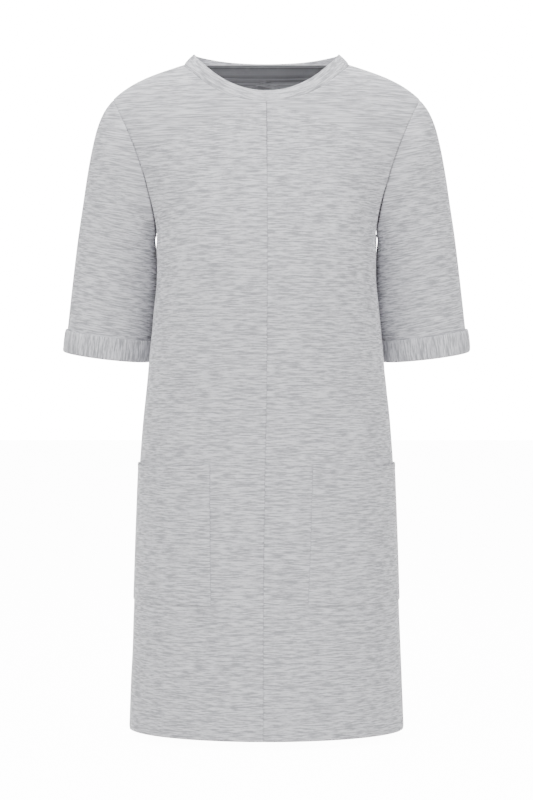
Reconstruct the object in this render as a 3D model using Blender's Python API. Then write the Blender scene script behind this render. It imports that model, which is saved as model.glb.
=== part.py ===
"""T-shirt dress in sweatshirt jersey, as it stands on a general figure with nobody in it.

Units are metres, +Z is up, the front faces -Y and the wearer's left is +X.
The origin is the middle of the neck opening, level with the points where the
shoulder seams meet the neckband.

Each cut piece is a wall of cloth. Its outer face is a sheet of quads laid on the
worn form, and its inner face is the same sheet moved in by the cloth's thickness.
All the sheets are sewn for a moment, so that pieces that share a seam also share
the seam's points and normals, and each is then drawn back by half the seam gap.
"""

import math
from collections import namedtuple

import bmesh
import bpy
import numpy as np

# Cloth and making
CLOTH = 0.0014
FOLDED_BAND = 2 * CLOTH
TAPE_CLOTH = 0.0007
SEAM_GAP = 0.0004
SHARP_FOLD = math.cos(math.radians(42))
JERSEY_ROUGHNESS = 0.95
MATCH_DIGITS = 6  # points of two sheets that agree to this many digits are sewn

LEFT, RIGHT = 1, -1  # the wearer's left is +X

# Body of the dress
UNDERARM_DROP = 0.223
POCKET_TOP = -0.521
POCKET_BOTTOM = -0.700
POCKET_GAPE = 0.0016

# Neck
NECK_HALF_WIDTH = 0.1082
FRONT_NECK_CURVE = 1.02
BACK_NECK_CURVE = 1.30
BAND_HEIGHT = 0.0192
TAPE_WIDTH = 0.008

# Armhole, an ellipse that leans in towards its foot and bows in between
SHOULDER_POINT = (0.2017, -0.047)
UNDERARM_POINT = (0.1435, -UNDERARM_DROP)
ARMHOLE_MIDDLE_Y = 0.004
ARMHOLE_FRONT = 0.060
ARMHOLE_BACK = 0.070
ARMHOLE_BOW = 0.0095

CUFF_SHARE = 0.905  # where the cuff's top edge lies, as a share of the sleeve

# How many quads each piece has along its rows and columns
BODY_COLUMNS = 9
POCKET_COLUMN = 2
YOKE_ROWS = 14
FRONT_CENTRE_ROWS = 8
BACK_CENTRE_ROWS = 9
BODY_ROWS = (
    -0.869, -0.814, -0.757, POCKET_BOTTOM, -0.640, -0.580, POCKET_TOP,
    -0.472, -0.423, -0.373, -0.323, -0.273, -UNDERARM_DROP,
)
SLEEVE_ROWS = (0.0, 0.05, 0.11, 0.19, 0.29, 0.40, 0.52, 0.65, 0.78, CUFF_SHARE, 0.955, 1.0)
BAND_ROWS = (0.0, TAPE_WIDTH, 0.014, BAND_HEIGHT)

# The body below the underarm: half its width, its reach in front of and behind the
# side line, and how square its outline is
Section = namedtuple("Section", "z half_width front back square")
SECTIONS = (
    Section(-0.869, 0.1800, 0.1310, 0.1240, 0.000),
    Section(-0.782, 0.1766, 0.1295, 0.1220, 0.006),
    Section(-0.700, 0.1732, 0.1285, 0.1195, 0.012),
    Section(-0.600, 0.1697, 0.1275, 0.1150, 0.018),
    Section(-0.521, 0.1659, 0.1265, 0.1100, 0.022),
    Section(-0.440, 0.1590, 0.1265, 0.1040, 0.028),
    Section(-0.374, 0.1522, 0.1300, 0.1020, 0.034),
    Section(-0.322, 0.1468, 0.1335, 0.1040, 0.040),
    Section(-0.270, 0.1436, 0.1350, 0.1090, 0.044),
    Section(-0.223, 0.1435, 0.1322, 0.1130, 0.045),
)

# The yoke above the underarm. share runs from the underarm, 0, to the shoulder
# ridge, 1. y and z are the middle of each row, which crosses the neck hole; wrap is
# how far the row has turned at the armhole, in degrees; slope and power shape its
# fall towards the armhole.
YokeRow = namedtuple("YokeRow", "share y z wrap square slope power")
FRONT_YOKE = (
    YokeRow(0.00, -0.1322, -0.2230, 90, 0.045, 0.00, 2.0),
    YokeRow(0.20, -0.1262, -0.1880, 78, 0.035, 0.00, 2.0),
    YokeRow(0.40, -0.1160, -0.1480, 64, 0.020, 0.00, 2.0),
    YokeRow(0.60, -0.1015, -0.1030, 52, 0.000, 0.05, 2.5),
    YokeRow(0.75, -0.0850, -0.0587, 44, 0.000, 0.25, 3.5),
    YokeRow(0.90, -0.0500, -0.0030, 34, 0.000, 0.60, 6.0),
    YokeRow(1.00, 0.0050, 0.0220, 24, 0.000, 0.75, 8.0),
)
BACK_YOKE = (
    YokeRow(0.00, 0.1130, -0.2230, 90, 0.045, 0.00, 2.0),
    YokeRow(0.20, 0.1145, -0.1830, 78, 0.035, 0.00, 2.0),
    YokeRow(0.40, 0.1120, -0.1370, 62, 0.020, 0.00, 2.0),
    YokeRow(0.60, 0.1010, -0.0860, 50, 0.000, 0.05, 2.5),
    YokeRow(0.78, 0.0800, -0.0390, 42, 0.000, 0.25, 3.5),
    YokeRow(0.90, 0.0600, -0.0080, 32, 0.000, 0.60, 6.0),
    YokeRow(1.00, 0.0050, 0.0220, 24, 0.000, 0.75, 8.0),
)
SLOPE_EASE = 0.35
FRONT_NECK_SHARE = 0.75
BACK_NECK_SHARE = 0.893

# The sleeve from the armhole, 0, to its end, 1: its outermost and innermost points,
# the depth of its middle line, its reach to the front and the back, how far its
# front edge hangs below its back edge, how far it bows in, and how far its inner
# side is tucked behind the body
SleeveRing = namedtuple(
    "SleeveRing", "share outer_x outer_z inner_x inner_z y front back pitch bow tuck"
)
SLEEVE_RINGS = (
    SleeveRing(0.00, 0.2017, -0.0470, 0.1435, -0.2230, 0.004, 0.0600, 0.0700, 0, 0.0095, 0),
    SleeveRing(0.05, 0.2120, -0.0610, 0.1456, -0.2290, 0.004, 0.0600, 0.0690, 0, 0.0040, 0.002),
    SleeveRing(0.11, 0.2205, -0.0800, 0.1452, -0.2370, 0.004, 0.0600, 0.0670, 0, 0, 0.008),
    SleeveRing(0.19, 0.2280, -0.1080, 0.1446, -0.2480, 0.005, 0.0590, 0.0640, 0.001, 0, 0.014),
    SleeveRing(0.29, 0.2350, -0.1450, 0.1437, -0.2620, 0.006, 0.0570, 0.0605, 0.001, 0, 0.019),
    SleeveRing(0.40, 0.2410, -0.1840, 0.1434, -0.2780, 0.008, 0.0545, 0.0570, 0.002, 0, 0.022),
    SleeveRing(0.52, 0.2470, -0.2230, 0.1442, -0.2960, 0.010, 0.0520, 0.0535, 0.003, 0, 0.023),
    SleeveRing(0.65, 0.2525, -0.2650, 0.1460, -0.3190, 0.013, 0.0495, 0.0505, 0.004, 0, 0.023),
    SleeveRing(0.78, 0.2575, -0.3060, 0.1485, -0.3400, 0.016, 0.0470, 0.0475, 0.005, 0, 0.022),
    SleeveRing(0.90, 0.2620, -0.3450, 0.1522, -0.3590, 0.019, 0.0450, 0.0445, 0.005, 0, 0.020),
    SleeveRing(1.00, 0.2655, -0.3730, 0.1550, -0.3860, 0.021, 0.0435, 0.0430, 0.005, 0, 0.018),
)

# The neckband's fold against its seam, at the front, the side and the back: how far
# it leans in to the neck and how far it stands up
BandLean = namedtuple("BandLean", "turn inward up")
BAND_LEAN = (
    BandLean(0, 0.0118, 0.0152),
    BandLean(50, 0.0122, 0.0148),
    BandLean(90, 0.0152, 0.0118),
    BandLean(115, 0.0095, 0.0167),
    BandLean(145, 0.0050, 0.0185),
    BandLean(180, 0.0045, 0.0187),
)

# Where the centre front seam and the side seams wander off their true lines. A side
# seam's lead is how far it has come round to the front, in degrees of the section.
Drift = namedtuple("Drift", "z centre left_lead right_lead")
DRIFTS = (
    Drift(-0.869, -0.0040, 13.0, -4.0),
    Drift(-0.814, -0.0038, 9.5, -3.0),
    Drift(-0.700, -0.0036, 2.0, -1.0),
    Drift(-0.521, -0.0013, 0.0, 0.0),
    Drift(-0.423, 0.0003, 0.0, 0.0),
    Drift(-0.323, 0.0010, 0.0, 0.0),
    Drift(0.100, 0.0010, 0.0, 0.0),
)

# The pockets' front edges, as a share of the way round from the centre seam
PocketEdge = namedtuple("PocketEdge", "bottom top")
POCKET_EDGES = {
    LEFT: PocketEdge(0.200, 0.214),
    RIGHT: PocketEdge(0.240, 0.257),
}

# The round of the cuff's lower fold, as shares of the cuff's reach from the sleeve:
# how far out and how far below the sleeve's end
FoldPoint = namedtuple("FoldPoint", "out down")
CUFF_FOLD = (FoldPoint(0.8, 0.7), FoldPoint(0.3, 1.0))

# Points inside the dress, which its cloth faces away from
BODY_MIDDLE = np.array([0.0, 0.0, -0.30])
SLEEVE_MIDDLE = np.array([0.19, 0.005, -0.20])

MARL = (0.60, 0.60, 0.63, 1.0)
SHADED_MARL = (0.50, 0.50, 0.53, 1.0)


def column(table, name):
    """One named column of a table, as an array."""
    return np.array([getattr(row, name) for row in table], float)


def smooth(table, along, name, at):
    """A smooth curve through one column of a table, read at one or more places."""
    places, values = column(table, along), column(table, name)
    slopes = np.gradient(values, places)
    at = np.clip(np.asarray(at, float), places[0], places[-1])
    i = np.clip(np.searchsorted(places, at) - 1, 0, len(places) - 2)
    width = places[i + 1] - places[i]
    t = (at - places[i]) / width
    return (
        (2 * t**3 - 3 * t**2 + 1) * values[i]
        + (t**3 - 2 * t**2 + t) * width * slopes[i]
        + (3 * t**2 - 2 * t**3) * values[i + 1]
        + (t**3 - t**2) * width * slopes[i + 1]
    )


def across(angle, square):
    """How far out a soft-cornered outline has gone at an angle from its middle."""
    return (np.sin(angle) + square * np.sin(3 * angle)) / (1 - square)


def forward(angle, square):
    """How far forward a soft-cornered outline is at an angle from its middle."""
    return (np.cos(angle) - square * np.cos(3 * angle)) / (1 - square)


def armhole_point(side, share, front):
    """A point of the armhole seam, from the underarm, 0, to the shoulder, 1."""
    turn = math.pi * (1 - share)
    reach = -ARMHOLE_FRONT if front else ARMHOLE_BACK
    (top_x, top_z), (foot_x, foot_z) = SHOULDER_POINT, UNDERARM_POINT
    middle_x, middle_z = (top_x + foot_x) / 2, (top_z + foot_z) / 2
    x = middle_x + (top_x - foot_x) / 2 * math.cos(turn) - ARMHOLE_BOW * math.sin(turn) ** 2
    z = middle_z + (top_z - foot_z) / 2 * math.cos(turn)
    return np.array([side * x, ARMHOLE_MIDDLE_Y + reach * math.sin(turn), z])


def body_point(side, turn, z):
    """A point of the body below the underarm. turn is 0 at the centre front, 1 at the
    side and 2 at the centre back."""
    angle = math.radians(90 * turn)
    square = smooth(SECTIONS, "z", "square", z)
    reach = smooth(SECTIONS, "z", "front" if turn < 1 else "back", z)
    x = smooth(SECTIONS, "z", "half_width", z) * across(angle, square)
    # The side line leaves the middle of the armhole and comes straight below it
    y = -reach * forward(angle, square) + ARMHOLE_MIDDLE_Y * (1 - abs(math.cos(angle)))
    return np.array([side * x, y, z])


def yoke_point(side, turn, share, front):
    """A point above the underarm. turn is 0 in the middle and 1 at the armhole."""
    table = FRONT_YOKE if front else BACK_YOKE
    y, z, wrap, square, slope, power = (
        smooth(table, "share", name, share)
        for name in ("y", "z", "wrap", "square", "slope", "power")
    )
    edge = armhole_point(1, share, front)
    end = math.radians(wrap)
    out = across(turn * end, square) / across(end, square)
    depth = (forward(turn * end, square) - forward(end, square)) / (
        forward(0, square) - forward(end, square)
    )
    eased = (math.hypot(out, SLOPE_EASE) - SLOPE_EASE) / (math.hypot(1, SLOPE_EASE) - SLOPE_EASE)
    fall = slope * eased + (1 - slope) * abs(out) ** power
    return np.array([
        side * edge[0] * out,
        edge[1] + (y - edge[1]) * depth,
        z + (edge[2] - z) * fall,
    ])


def turn_for(x, share, front):
    """The turn at which a yoke row is x out from the middle. The yoke isn't square
    near the neck, so an arcsine finds it."""
    table = FRONT_YOKE if front else BACK_YOKE
    end = math.radians(smooth(table, "share", "wrap", share))
    edge = armhole_point(1, share, front)
    return math.asin(x / edge[0] * math.sin(end)) / end


def neck_place(swing, front):
    """The turn and the share of a place on the neck seam. swing is 0 at the centre and
    1 at the shoulder."""
    lowest = FRONT_NECK_SHARE if front else BACK_NECK_SHARE
    curve = FRONT_NECK_CURVE if front else BACK_NECK_CURVE
    angle = swing * math.pi / 2
    share = 1 - (1 - lowest) * math.cos(angle) ** curve
    turn = turn_for(NECK_HALF_WIDTH * math.sin(angle), share, front)
    return turn, share


def centre_turn(side, z, front):
    """The turn of the centre line: the centre front seam wanders a little."""
    if not front:
        return 0.0
    width = float(smooth(SECTIONS, "z", "half_width", z))
    offset = side * float(smooth(DRIFTS, "z", "centre", z))
    return math.asin(offset / width) / (math.pi / 2)


def side_lead(side, z):
    """How far a side seam has come round to the front, as a share of a quarter turn."""
    return float(smooth(DRIFTS, "z", "left_lead" if side == LEFT else "right_lead", z)) / 90


def column_shares(side, z, front):
    """Where a row's points lie between the centre and the side, 0 to 1. On the front,
    one column is the pocket's edge, and it is even again at the shoulder."""
    even = np.linspace(0, 1, BODY_COLUMNS + 1)
    if not front:
        return even
    edge = POCKET_EDGES[side]
    at_pocket = np.interp(z, (POCKET_BOTTOM, POCKET_TOP), (edge.bottom, edge.top))
    at_edge = np.interp(z, (-UNDERARM_DROP, 0), (at_pocket, even[POCKET_COLUMN]))
    return np.interp(even, (0, even[POCKET_COLUMN], 1), (0, at_edge, 1))


def half_body(side, front):
    """The points of half a front or half a back, hem first, as rows by columns."""
    rows = []
    for z in BODY_ROWS[:-1]:
        start, lead = centre_turn(side, z, front), side_lead(side, z)
        end = 1 - lead if front else 1 + lead
        turns = start + column_shares(side, z, front) * (end - start)
        rows.append([body_point(side, t if front else 2 - t, z) for t in turns])
    centre_rows = FRONT_CENTRE_ROWS if front else BACK_CENTRE_ROWS
    lowest = FRONT_NECK_SHARE if front else BACK_NECK_SHARE
    for row in range(YOKE_ROWS + 1):
        if row <= centre_rows:
            share = lowest * row / centre_rows
            turn = centre_turn(side, -UNDERARM_DROP, front) * math.sqrt(1 - row / centre_rows)
        else:
            swing = (row - centre_rows) / (YOKE_ROWS - centre_rows)
            turn, share = neck_place(swing, front)
        at_armhole = row / YOKE_ROWS
        shares = column_shares(side, -UNDERARM_DROP * (1 - at_armhole), front)
        rows.append([
            yoke_point(side, turn + t * (1 - turn), share + t * (at_armhole - share), front)
            for t in shares
        ])
    return np.array(rows)


def sleeve_ring(side, share, turns):
    """One ring of the sleeve. A turn is 0 at the shoulder, 90 at the front, 180 at
    the underarm and 270 at the back."""
    ring = {
        name: float(smooth(SLEEVE_RINGS, "share", name, share))
        for name in SleeveRing._fields[1:]
    }
    points = []
    for turn in np.radians(turns):
        swing, reach = math.cos(turn), math.sin(turn)
        outwards = (1 + swing) / 2
        x = ring["inner_x"] + (ring["outer_x"] - ring["inner_x"]) * outwards
        z = ring["inner_z"] + (ring["outer_z"] - ring["inner_z"]) * outwards
        depth = ring["front"] if reach > 0 else ring["back"]
        points.append([
            side * (x - ring["bow"] * reach**2),
            ring["y"] - depth * reach + ring["tuck"] * (1 - outwards),
            z - ring["pitch"] * reach,
        ])
    return points


class Sheet:
    """A sheet of quads: its points, its quads as point numbers, and the grid that
    gives the number of each point by row and column."""

    def __init__(self, *grids):
        """Joins grids, each an array of rows by columns, where their points meet."""
        self.points, self.quads, self.grids = [], [], []
        numbers = {}
        for grid, closed in grids:
            rows, columns = grid.shape[:2]
            ids = np.zeros((rows, columns), int)
            for r in range(rows):
                for c in range(columns):
                    key = tuple(np.round(grid[r, c], MATCH_DIGITS))
                    if key not in numbers:
                        numbers[key] = len(self.points)
                        self.points.append(grid[r, c])
                    ids[r, c] = numbers[key]
            self.grids.append(ids)
            for r in range(rows - 1):
                for c in range(columns if closed else columns - 1):
                    d = (c + 1) % columns
                    self.quads.append((ids[r, c], ids[r, d], ids[r + 1, d], ids[r + 1, c]))
        self.points = np.array(self.points)
        self.normals = None
        self.sharp = None

    def face_normals(self):
        """The quads' normals, each as long as its quad is large."""
        p = self.points[np.array(self.quads)]
        return np.cross(p[:, 2] - p[:, 0], p[:, 3] - p[:, 1])

    def rim_edges(self):
        """The edges that only one quad uses, in that quad's order."""
        used = {}
        for quad in self.quads:
            for a, b in zip(quad, quad[1:] + quad[:1]):
                if a != b:
                    used.setdefault(frozenset((a, b)), []).append((a, b))
        return [edges[0] for edges in used.values() if len(edges) == 1]

    def draw_back(self):
        """Moves the rim in by half the seam gap, square to the seam."""
        inside = np.zeros_like(self.points)
        for quad in self.quads:
            middle = self.points[list(quad)].mean(0)
            for i in quad:
                inside[i] += middle - self.points[i]
        along = np.zeros_like(self.points)
        rim = self.rim_edges()
        for a, b in rim:
            along[a] += self.points[b] - self.points[a]
            along[b] += self.points[b] - self.points[a]
        for i in {i for edge in rim for i in edge}:
            pull = inside[i]
            for flat in (along[i], self.normals[i]):
                flat = flat / np.linalg.norm(flat)
                pull = pull - (pull @ flat) * flat
            self.points[i] += SEAM_GAP / 2 * pull / np.linalg.norm(pull)
            if self.sharp[i]:
                self.points[i] -= SEAM_GAP / 2 * self.normals[i]


def face_outwards(sheet, middle):
    """Turns a sheet's quads so that they face away from a point inside the dress."""
    away = (sheet.points[np.array(sheet.quads)].mean(1) - middle) * sheet.face_normals()
    if away.sum() < 0:
        sheet.quads = [quad[::-1] for quad in sheet.quads]


def share_normals(sheets):
    """Gives every point the normal of all the sheets that are sewn together there.
    Where they meet in a sharp fold, as under the arm, each keeps its own."""
    total = {}
    for sheet in sheets:
        sheet.normals = np.zeros_like(sheet.points)
        for quad, normal in zip(sheet.quads, sheet.face_normals()):
            for i in set(quad):
                sheet.normals[i] += normal
        sheet.normals /= np.linalg.norm(sheet.normals, axis=1)[:, None]
        for point, normal in zip(sheet.points, sheet.normals):
            key = tuple(np.round(point, MATCH_DIGITS))
            total[key] = total.get(key, 0) + normal
    for sheet in sheets:
        shared = np.array([total[tuple(np.round(p, MATCH_DIGITS))] for p in sheet.points])
        shared /= np.linalg.norm(shared, axis=1)[:, None]
        sheet.sharp = (shared * sheet.normals).sum(1) < SHARP_FOLD
        sheet.normals = np.where(sheet.sharp[:, None], sheet.normals, shared)


def cloth_material(name, colour):
    """A plain matt cloth finish."""
    material = bpy.data.materials.new(name)
    material.use_nodes = True
    shader = material.node_tree.nodes["Principled BSDF"]
    shader.inputs["Base Color"].default_value = colour
    shader.inputs["Roughness"].default_value = JERSEY_ROUGHNESS
    shader.inputs["Metallic"].default_value = 0.0
    return material


def solid(name, points, faces, material):
    """A named object from the points and faces of one closed body."""
    mesh = bpy.data.meshes.new(name)
    mesh.from_pydata([tuple(p) for p in points], [], faces)
    body = bmesh.new()
    body.from_mesh(mesh)
    bmesh.ops.recalc_face_normals(body, faces=body.faces)
    body.to_mesh(mesh)
    body.free()
    mesh.materials.append(material)
    obj = bpy.data.objects.new(name, mesh)
    bpy.data.collections["t_shirt_dress"].objects.link(obj)
    obj.data.shade_smooth()


def halves(quad):
    """A quad's two triangles, split from its lowest-numbered point, so that what is
    laid on a panel bends where the panel does."""
    first = quad.index(min(quad))
    a, b, c, d = quad[first:] + quad[:first]
    return [t for t in ((a, b, c), (a, c, d)) if len(set(t)) == 3]


def wall(name, sheet, thickness, material):
    """A sheet made a wall of cloth: its outer face, its inner face and its rim."""
    count = len(sheet.points)
    inner = sheet.points - thickness * sheet.normals
    faces = [triangle for quad in sheet.quads for triangle in halves(quad)]
    faces += [tuple(i + count for i in reversed(face)) for face in faces]
    faces += [(b, a, a + count, b + count) for a, b in sheet.rim_edges()]
    solid(name, np.vstack([sheet.points, inner]), faces, material)


def ring_solid(name, loops, material):
    """A closed band from its cross-sections, one loop of points for each column."""
    columns, around = loops.shape[:2]
    faces = [
        (
            c * around + k,
            (c + 1) % columns * around + k,
            (c + 1) % columns * around + (k + 1) % around,
            c * around + (k + 1) % around,
        )
        for c in range(columns)
        for k in range(around)
    ]
    solid(name, loops.reshape(-1, 3), faces, material)


def armhole_turns():
    """The sleeve's turns, from the shoulder down the front and up the back, which
    meet the ends of the yoke's rows."""
    front = [180 * row / YOKE_ROWS for row in range(YOKE_ROWS)]
    return np.array(front + [180 + turn for turn in front])


def make_sleeve(side):
    """The sleeve as a tube of rings."""
    turns = armhole_turns()
    rings = [sleeve_ring(side, share, turns) for share in SLEEVE_ROWS]
    return Sheet((np.array(rings), True))


def neckline(front_halves, back_halves):
    """The neck seam's points, from the left of the centre front round the back."""
    left_front = front_halves[LEFT][len(BODY_ROWS) - 1 + FRONT_CENTRE_ROWS:, 0]
    right_front = front_halves[RIGHT][len(BODY_ROWS) - 1 + FRONT_CENTRE_ROWS:, 0]
    left_back = back_halves[LEFT][len(BODY_ROWS) - 1 + BACK_CENTRE_ROWS:, 0]
    right_back = back_halves[RIGHT][len(BODY_ROWS) - 1 + BACK_CENTRE_ROWS:, 0]
    return np.vstack([
        left_front, left_back[-2::-1], right_back[1:], right_front[-2:0:-1]
    ])


def make_neckband(seam):
    """The neckband's outer face, from the seam to the fold."""
    middle = np.array([0.0, (seam[:, 1].min() + seam[:, 1].max()) / 2, 0.0])
    rows = []
    for height in BAND_ROWS:
        ring = []
        for point in seam:
            out = (point - middle) * (1, 1, 0)
            turn = math.degrees(math.atan2(abs(out[0]), -out[1]))
            inward = float(smooth(BAND_LEAN, "turn", "inward", turn))
            up = float(smooth(BAND_LEAN, "turn", "up", turn))
            step = height / BAND_HEIGHT
            ring.append(point - step * inward * out / np.linalg.norm(out) + (0, 0, step * up))
        rows.append(ring)
    return Sheet((np.array(rows), True))


def make_pocket(panel):
    """A pocket from its panel's own points, moved out, with its mouth a little open."""
    ids = panel.grids[0]
    first, last = BODY_ROWS.index(POCKET_BOTTOM), BODY_ROWS.index(POCKET_TOP)
    patch = ids[first:last + 1, POCKET_COLUMN:]
    rise = np.linspace(0, 1, patch.shape[0])[:, None]
    along = np.linspace(0, 1, patch.shape[1])[None, :]
    gape = POCKET_GAPE * rise**3 * np.sqrt(np.sin(math.pi * along))
    lift = (SEAM_GAP + CLOTH + gape)[:, :, None]
    sheet = Sheet((panel.points[patch] + lift * panel.normals[patch], False))
    face_outwards(sheet, np.array([0.0, 0.0, POCKET_BOTTOM]))
    share_normals([sheet])
    return sheet


def make_cuff(name, sleeve, material):
    """A folded band turned up round the sleeve's end, with its fold under the end."""
    ids = sleeve.grids[0]
    rows = [SLEEVE_ROWS.index(share) for share in SLEEVE_ROWS if share >= CUFF_SHARE]
    loops = []
    for c in range(ids.shape[1]):
        points = [sleeve.points[ids[r, c]] for r in rows]
        outs = [sleeve.normals[ids[r, c]] for r in rows]
        end, out = points[-1], outs[-1]
        down = (end - points[-2]) / np.linalg.norm(end - points[-2])
        near, far = SEAM_GAP, SEAM_GAP + FOLDED_BAND
        loop = [p + far * n for p, n in zip(points, outs)]
        loop += [end + far * (fold.out * out + fold.down * down) for fold in CUFF_FOLD]
        loop.append(end - CLOTH * out + far * down)
        loop.append(end - CLOTH * out + near * down)
        loop.append(end + near * out + near * down)
        loop += [p + near * n for p, n in zip(points[-2::-1], outs[-2::-1])]
        loops.append(loop)
    ring_solid(name, np.array(loops), material)


def make_tape(band, seam_count):
    """The tape inside the back neck, laid on the band from shoulder to shoulder."""
    shoulder = YOKE_ROWS - FRONT_CENTRE_ROWS
    ids = band.grids[0][:2, shoulder:seam_count - shoulder + 1]
    depth = FOLDED_BAND + SEAM_GAP
    sheet = Sheet((band.points[ids] - depth * band.normals[ids], False))
    face_outwards(sheet, np.array([0.0, 0.0, 0.0]))
    share_normals([sheet])
    return sheet


def main():
    """Builds the dress."""
    for old in list(bpy.data.objects):
        bpy.data.objects.remove(old)
    bpy.context.scene.collection.children.link(bpy.data.collections.new("t_shirt_dress"))
    jersey = cloth_material("grey_marl_jersey", MARL)
    inside = cloth_material("neck_tape_jersey", SHADED_MARL)

    fronts = {side: half_body(side, True) for side in (LEFT, RIGHT)}
    backs = {side: half_body(side, False) for side in (LEFT, RIGHT)}
    seam = neckline(fronts, backs)
    sheets = {
        "front_left": Sheet((fronts[LEFT], False)),
        "front_right": Sheet((fronts[RIGHT], False)),
        "back": Sheet((backs[LEFT], False), (backs[RIGHT][:, ::-1], False)),
        "neckband": make_neckband(seam),
    }
    for sheet in sheets.values():
        face_outwards(sheet, BODY_MIDDLE)
    for side, name in ((LEFT, "sleeve_left"), (RIGHT, "sleeve_right")):
        sheets[name] = make_sleeve(side)
        face_outwards(sheets[name], SLEEVE_MIDDLE * (side, 1, 1))
    share_normals(list(sheets.values()))

    extras = {
        "pocket_left": make_pocket(sheets["front_left"]),
        "pocket_right": make_pocket(sheets["front_right"]),
        "back_neck_tape": make_tape(sheets["neckband"], len(seam)),
    }
    make_cuff("cuff_left", sheets["sleeve_left"], jersey)
    make_cuff("cuff_right", sheets["sleeve_right"], jersey)
    for name, sheet in {**sheets, **extras}.items():
        sheet.draw_back()
        if name == "neckband":
            wall(name, sheet, FOLDED_BAND, jersey)
        elif name == "back_neck_tape":
            wall(name, sheet, TAPE_CLOTH, inside)
        else:
            wall(name, sheet, CLOTH, jersey)


main()
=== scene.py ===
"""The looks of the t-shirt dress: fine cloth laid on the frame's form, its marl jersey
and a pale studio. Metres, +Z up; the front faces -Y and +X is the wearer's left.
"""

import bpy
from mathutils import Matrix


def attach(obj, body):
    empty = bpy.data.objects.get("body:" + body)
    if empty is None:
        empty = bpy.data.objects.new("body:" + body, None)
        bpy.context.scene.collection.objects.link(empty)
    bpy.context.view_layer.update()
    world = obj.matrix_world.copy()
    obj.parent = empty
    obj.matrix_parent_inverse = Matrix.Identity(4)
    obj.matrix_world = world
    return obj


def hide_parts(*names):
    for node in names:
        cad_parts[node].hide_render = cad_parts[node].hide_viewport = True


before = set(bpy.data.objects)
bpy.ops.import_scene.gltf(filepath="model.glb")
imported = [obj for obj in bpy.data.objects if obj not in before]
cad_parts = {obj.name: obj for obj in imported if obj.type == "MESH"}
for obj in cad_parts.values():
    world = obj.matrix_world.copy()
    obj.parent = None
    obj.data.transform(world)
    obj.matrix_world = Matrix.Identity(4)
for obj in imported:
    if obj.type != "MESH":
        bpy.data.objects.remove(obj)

import logging
import math
from collections import namedtuple
from dataclasses import dataclass, field
from enum import Enum
from typing import Optional, Sequence

import bmesh
import bpy
import numpy as np

logging.basicConfig(level=logging.INFO, format="%(message)s")
LOG = logging.getLogger("dress")
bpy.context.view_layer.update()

# Cloth
CLOTH = 0.0013
FOLDED_BAND = 0.0028
LAYER_GAP = 0.0003
SEAM_DEPTH = 0.0009
SEAM_WIDTH = 0.0016
EDGE_STEPS = (0.0012, 0.0024, 0.0040, 0.0062)

# The garment's lines
HEM_Z = -0.869
UNDERARM_Z = -0.223
POCKET_TOP = -0.521
POCKET_BOTTOM = -0.700
NECK_HALF_WIDTH = 0.1082
FRONT_NECK_CURVE = 1.02
BACK_NECK_CURVE = 1.30
FRONT_NECK_SHARE = 0.75
BACK_NECK_SHARE = 0.893
BAND_HEIGHT = 0.0192
TAPE_WIDTH = 0.008
SHOULDER_POINT = (0.2017, -0.047)
UNDERARM_POINT = (0.1435, UNDERARM_Z)
ARMHOLE_MIDDLE_Y = 0.004
ARMHOLE_FRONT = 0.060
ARMHOLE_BACK = 0.070
ARMHOLE_BOW = 0.0095
SLOPE_EASE = 0.35
CUFF_SHARE = 0.905

# How finely the cloth is laid
BODY_ROWS = 84
YOKE_ROWS = 44
NECK_ROWS = 20
HALF_COLUMNS = 36
RING_POINTS = 96
CUFF_RINGS = 9
BLEND_PASSES = 60
BLEND_ROWS = 11.0

HALF_ROUND = 0.22
SLEEVE_LENGTH = 0.30
SLEEVE_RING_STEPS = 52
POCKET_WIDTH = 0.165
POCKET_ROWS = 34
POCKET_COLUMNS = 26

# Points inside the dress, which its cloth faces away from
BODY_CENTRE = (0, 0, -0.3)
POCKET_CENTRE = (0, 0, -0.6)

# The hem's folded edge
HEM_FOLD_DEPTH = 0.0007
HEM_FOLD_WIDTH = 0.0022

# How the soft creases differ from each other and between the sides, how far they bow,
# and the low ridge beside each, as a share of its depth and of its width
CREASE_UNEVEN = 0.25
CREASE_START_SHIFT = 0.006
CREASE_END_SHIFT = 0.008
CREASE_BOW = 0.006
RIDGE_HEIGHT = 0.5
RIDGE_PLACE = 1.7

# Beside the armhole the sleeve has a soft valley, and shallow waves run down from it
VALLEY_DOWN = 0.007
VALLEY_WIDTH = 0.007
FRONT_VALLEY = 0.0012
BACK_VALLEY = 0.0018
VALLEY_TURN = 118
VALLEY_SPREAD = 48
WAVE_DEPTH = 0.0007
WAVE_PACE = 46
WAVE_REACH = 0.28

# The sleeve's and the cuff's mean radii, and the sleeve's own length as a direction
SLEEVE_RADIUS = 0.055
CUFF_RADIUS = 0.052
SLEEVE_LINE = (0.17, 0.05, -0.984)

# The cuff: degrees round its two folds, and how uneven it is
TOP_FOLD_TURNS = (180, 140, 90, 45)
BOTTOM_FOLD_TURNS = (0, 35, 70, 105, 140, 180)
BOTTOM_FOLD_DROP = 0.0032
CUFF_UNEVEN = 0.0004
CUFF_SWELL = 0.0005

# The neckband: how its seam rolls in, how its face swells, and its top fold
BAND_SEAM_DEPTH = 0.0008
BAND_SEAM_WIDTH = 0.0015
BAND_SWELL = 0.0005
BAND_FOLD_TURNS = (30, 60, 90, 120, 150)
BAND_FOLD_RISE = 0.0012

# The tape's sewn edges
TAPE_EDGE = 0.0012
TAPE_SWELL = 0.0007
TAPE_GAP = 0.0002

# The pocket: its sewn edges press down, its mouth's turning swells and its edge dips
POCKET_PRESS = 0.0007
POCKET_EDGE = 0.0012
POCKET_SIDE_DEPTH = 0.0012
POCKET_SIDE_WIDTH = 0.0025
MOUTH_SWELL = 0.0005
MOUTH_TURNING = 0.003
MOUTH_DIP = 0.0038

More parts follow.
